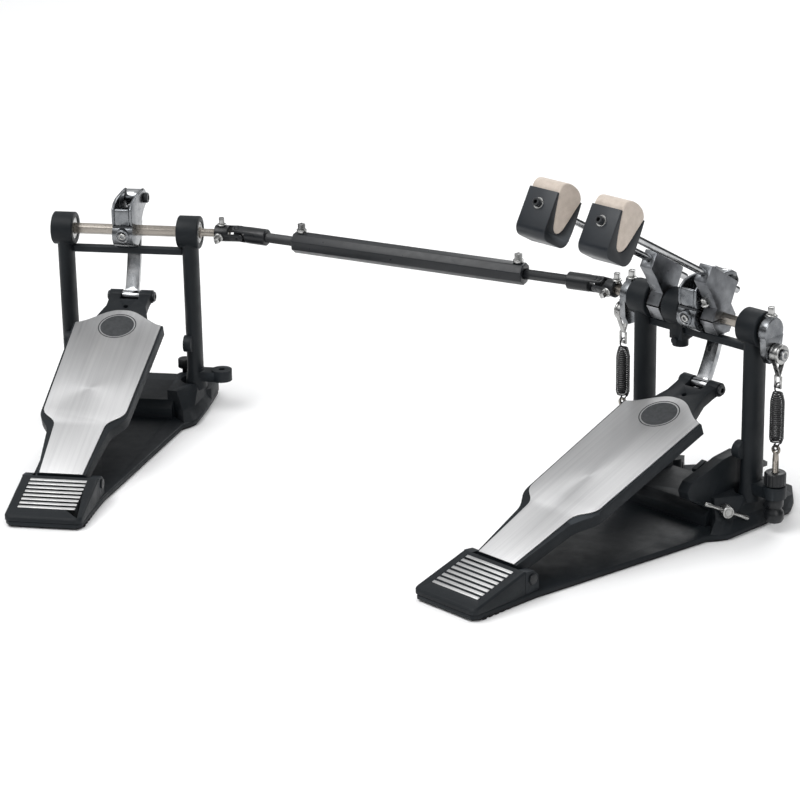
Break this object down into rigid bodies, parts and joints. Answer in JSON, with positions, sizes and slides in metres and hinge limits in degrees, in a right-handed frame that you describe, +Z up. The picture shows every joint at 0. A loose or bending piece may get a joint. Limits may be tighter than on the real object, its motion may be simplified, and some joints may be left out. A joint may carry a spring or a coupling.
{
  "type": "double bass drum pedal",
  "caption": "Double bass drum pedal: direct-drive main pedal carrying two beaters, slave pedal and a drive shaft with universal joints.",
  "frame": {"origin": "on the floor, under the middle of the main pedal's axle", "axes": "+Z up, +Y forward to the drum from the main pedal, +X to the player's right along the main axle"},
  "size_m": [0.7851, 0.5667, 0.3369],
  "materials": {
    "cast_paint": "satin charcoal powder coat on rough casting",
    "rubber": "matte",
    "bright_zinc": "bright zinc plate",
    "black_steel": "black oxide satin",
    "warm_nickel": "satin nickel",
    "chrome": "polished",
    "satin_zinc": "satin die cast",
    "brushed_plate": "brushed lengthwise",
    "black_plastic": "satin moulded",
    "felt": "dense pressed felt",
    "black_spring": "black wire"
  },
  "bodies": {
    "frame": {"main_base_plate": "cast_paint", "main_bridge": "cast_paint", "main_posts": "cast_paint", "main_heel_block": "cast_paint", "slave_base_plate": "cast_paint", "slave_bridge": "cast_paint", "slave_posts": "cast_paint", "slave_heel_block": "cast_paint", "rubber_soles": "rubber", "ground_spurs": "bright_zinc", "cross_bars": "cast_paint", "heel_ribs": "bright_zinc", "heel_pins": "black_steel", "axle_bearings": "bright_zinc", "centre_bracket": "cast_paint", "tension_rods": "bright_zinc"},
    "main_axle": {"main_axle": "warm_nickel", "main_link_cam": "chrome", "main_cam_cap": "chrome", "main_cam_pin": "black_steel", "main_beater_holder": "satin_zinc", "main_rocker": "chrome"},
    "slave_pedal_axle": {"slave_pedal_axle": "warm_nickel", "slave_link_cam": "chrome", "slave_cam_cap": "chrome", "slave_cam_pin": "black_steel", "slave_input_yoke": "black_steel"},
    "slave_beater_axle": {"slave_beater_axle": "warm_nickel", "slave_beater_holder": "satin_zinc", "slave_rocker": "chrome", "main_output_yoke": "black_steel"},
    "slave_cross": {"slave_joint_cross": "black_steel"},
    "main_cross": {"main_joint_cross": "black_steel"},
    "drive_shaft": {"shaft_end_rods": "black_steel", "shaft_sleeve": "black_steel", "shaft_key_bolts": "bright_zinc"},
    "clamp_screw": {"clamp_screw": "bright_zinc"},
    "clamp_jaw": {"clamp_jaw": "black_steel"},
    "main_footboard": {"main_footboard": "cast_paint", "main_tread_plate": "brushed_plate", "main_toe_pin": "black_steel"},
    "main_link": {"main_drive_link": "chrome"},
    "main_beater": {"main_beater_rod": "chrome", "main_beater_shell": "black_plastic", "main_beater_felt": "felt"},
    "main_strap": {"main_spring_strap": "bright_zinc"},
    "main_spring_lower": {"main_spring_coil": "black_spring"},
    "main_spring_upper": {"main_spring_upper_hook": "black_spring"},
    "main_tension_knob": {"main_tension_knob": "black_steel"},
    "slave_footboard": {"slave_footboard": "cast_paint", "slave_tread_plate": "brushed_plate", "slave_toe_pin": "black_steel"},
    "slave_link": {"slave_drive_link": "chrome"},
    "slave_beater": {"slave_beater_rod": "chrome", "slave_beater_shell": "black_plastic", "slave_beater_felt": "felt"},
    "slave_strap": {"slave_spring_strap": "bright_zinc"},
    "slave_spring_lower": {"slave_spring_coil": "black_spring"},
    "slave_spring_upper": {"slave_spring_upper_hook": "black_spring"},
    "slave_tension_knob": {"slave_tension_knob": "black_steel"}
  },
  "joints": [
    {"name": "main_footboard_hinge", "type": "hinge", "parent": "frame", "child": "main_footboard", "pos_m": [0, -0.261, 0.019], "axis": [-1, 0, 0], "range_deg": [0, 8.12], "stiffness_Nm_per_rad": 5, "springref_deg": -20.05},
    {"name": "main_link_hinge", "type": "hinge", "parent": "main_footboard", "child": "main_link", "pos_m": [0, 0.0049, 0.1186], "axis": [-1, 0, 0], "range_deg": [-9.39, 0]},
    {"name": "slave_footboard_hinge", "type": "hinge", "parent": "frame", "child": "slave_footboard", "pos_m": [-0.44016, -0.39891, 0.019], "axis": [-0.8112, -0.5848, 0], "range_deg": [0, 8.12], "stiffness_Nm_per_rad": 5, "springref_deg": -20.05},
    {"name": "slave_link_hinge", "type": "hinge", "parent": "slave_footboard", "child": "slave_link", "pos_m": [-0.59567, -0.18322, 0.1186], "axis": [-0.8112, -0.5848, 0], "range_deg": [-9.39, 0]},
    {"name": "main_axle_turn", "type": "hinge", "parent": "frame", "child": "main_axle", "pos_m": [0, 0, 0.19], "axis": [-1, 0, 0], "range_deg": [0, 56.08]},
    {"name": "slave_pedal_axle_turn", "type": "hinge", "parent": "frame", "child": "slave_pedal_axle", "pos_m": [-0.5928, -0.1872, 0.19], "axis": [-0.8112, -0.5848, 0], "range_deg": [0, 56.08]},
    {"name": "slave_joint_cross_turn", "type": "hinge", "parent": "slave_pedal_axle", "child": "slave_cross", "pos_m": [-0.49919, -0.11971, 0.19], "axis": [-0.5164, 0.7162, 0.4695], "range_deg": [0, 17.62]},
    {"name": "drive_shaft_turn", "type": "hinge", "parent": "frame", "child": "drive_shaft", "pos_m": [-0.49919, -0.11971, 0.19], "axis": [-0.9533, -0.3019, 0], "range_deg": [0, 58.56]},
    {"name": "slave_beater_axle_turn", "type": "hinge", "parent": "frame", "child": "slave_beater_axle", "pos_m": [-0.06, 0, 0.19], "axis": [-1, 0, 0], "range_deg": [0, 56.25]},
    {"name": "main_joint_cross_turn", "type": "hinge", "parent": "slave_beater_axle", "child": "main_cross", "pos_m": [-0.1212, 0, 0.19], "axis": [0, 0.8829, 0.4695], "range_deg": [-17.02, 0]},
    {"name": "main_beater_height", "type": "slide", "parent": "main_axle", "child": "main_beater", "axis": [0, -0.8704, 0.4924], "range_m": [-0.025, 0.012]},
    {"name": "main_strap_hinge", "type": "hinge", "parent": "main_axle", "child": "main_strap", "pos_m": [0.092, 0, 0.171], "axis": [-1, 0, 0], "range_deg": [-65.14, 0]},
    {"name": "main_spring_swing", "type": "hinge", "parent": "frame", "child": "main_spring_lower", "pos_m": [0.092, 0, 0.0806], "axis": [-1, 0, 0], "range_deg": [-9.11, 0]},
    {"name": "main_spring_stretch", "type": "slide", "parent": "main_spring_lower", "child": "main_spring_upper", "axis": [0, 0, 1], "range_m": [0, 0.00973], "deforming": ["main_spring_coil"]},
    {"name": "main_tension_knob_turn", "type": "hinge", "parent": "frame", "child": "main_tension_knob", "pos_m": [0.092, 0, 0.052], "axis": [0, 0, 1], "continuous": true},
    {"name": "slave_beater_height", "type": "slide", "parent": "slave_beater_axle", "child": "slave_beater", "axis": [0, -0.8704, 0.4924], "range_m": [-0.025, 0.012]},
    {"name": "slave_strap_hinge", "type": "hinge", "parent": "slave_beater_axle", "child": "slave_strap", "pos_m": [-0.092, 0, 0.171], "axis": [-1, 0, 0], "range_deg": [-65.34, 0]},
    {"name": "slave_spring_swing", "type": "hinge", "parent": "frame", "child": "slave_spring_lower", "pos_m": [-0.092, 0, 0.0806], "axis": [-1, 0, 0], "range_deg": [-9.14, 0]},
    {"name": "slave_spring_stretch", "type": "slide", "parent": "slave_spring_lower", "child": "slave_spring_upper", "axis": [0, 0, 1], "range_m": [0, 0.00976], "deforming": ["slave_spring_coil"]},
    {"name": "slave_tension_knob_turn", "type": "hinge", "parent": "frame", "child": "slave_tension_knob", "pos_m": [-0.092, 0, 0.052], "axis": [0, 0, 1], "continuous": true},
    {"name": "clamp_screw_turn", "type": "hinge", "parent": "frame", "child": "clamp_screw", "pos_m": [0.0672, -0.0376, 0.0245], "axis": [0.8829, -0.4695, 0], "range_deg": [0, 30]},
    {"name": "clamp_jaw_hinge", "type": "hinge", "parent": "frame", "child": "clamp_jaw", "pos_m": [0, 0.032, 0.026], "axis": [1, 0, 0], "range_deg": [0, 6.1]}
  ],
  "couplings": [
    {"joint": "main_link_hinge", "follows": "main_footboard_hinge", "ratio": -1.15},
    {"joint": "slave_link_hinge", "follows": "slave_footboard_hinge", "ratio": -1.15},
    {"joint": "main_axle_turn", "follows": "main_footboard_hinge", "ratio": 6.9},
    {"joint": "slave_pedal_axle_turn", "follows": "slave_footboard_hinge", "ratio": 6.9},
    {"joint": "slave_joint_cross_turn", "follows": "slave_footboard_hinge", "ratio": 2.1643},
    {"joint": "drive_shaft_turn", "follows": "slave_footboard_hinge", "ratio": 7.2052},
    {"joint": "slave_beater_axle_turn", "follows": "slave_footboard_hinge", "ratio": 6.9209},
    {"joint": "main_joint_cross_turn", "follows": "slave_footboard_hinge", "ratio": -2.0903},
    {"joint": "main_strap_hinge", "follows": "main_footboard_hinge", "ratio": -8.0161},
    {"joint": "main_spring_swing", "follows": "main_footboard_hinge", "ratio": -1.1161},
    {"joint": "main_spring_stretch", "follows": "main_footboard_hinge", "m_per_rad": 0.06796},
    {"joint": "slave_strap_hinge", "follows": "slave_footboard_hinge", "ratio": -8.0404},
    {"joint": "slave_spring_swing", "follows": "slave_footboard_hinge", "ratio": -1.1195},
    {"joint": "slave_spring_stretch", "follows": "slave_footboard_hinge", "m_per_rad": 0.06817},
    {"joint": "clamp_jaw_hinge", "follows": "clamp_screw_turn", "ratio": 0.2}
  ]
}
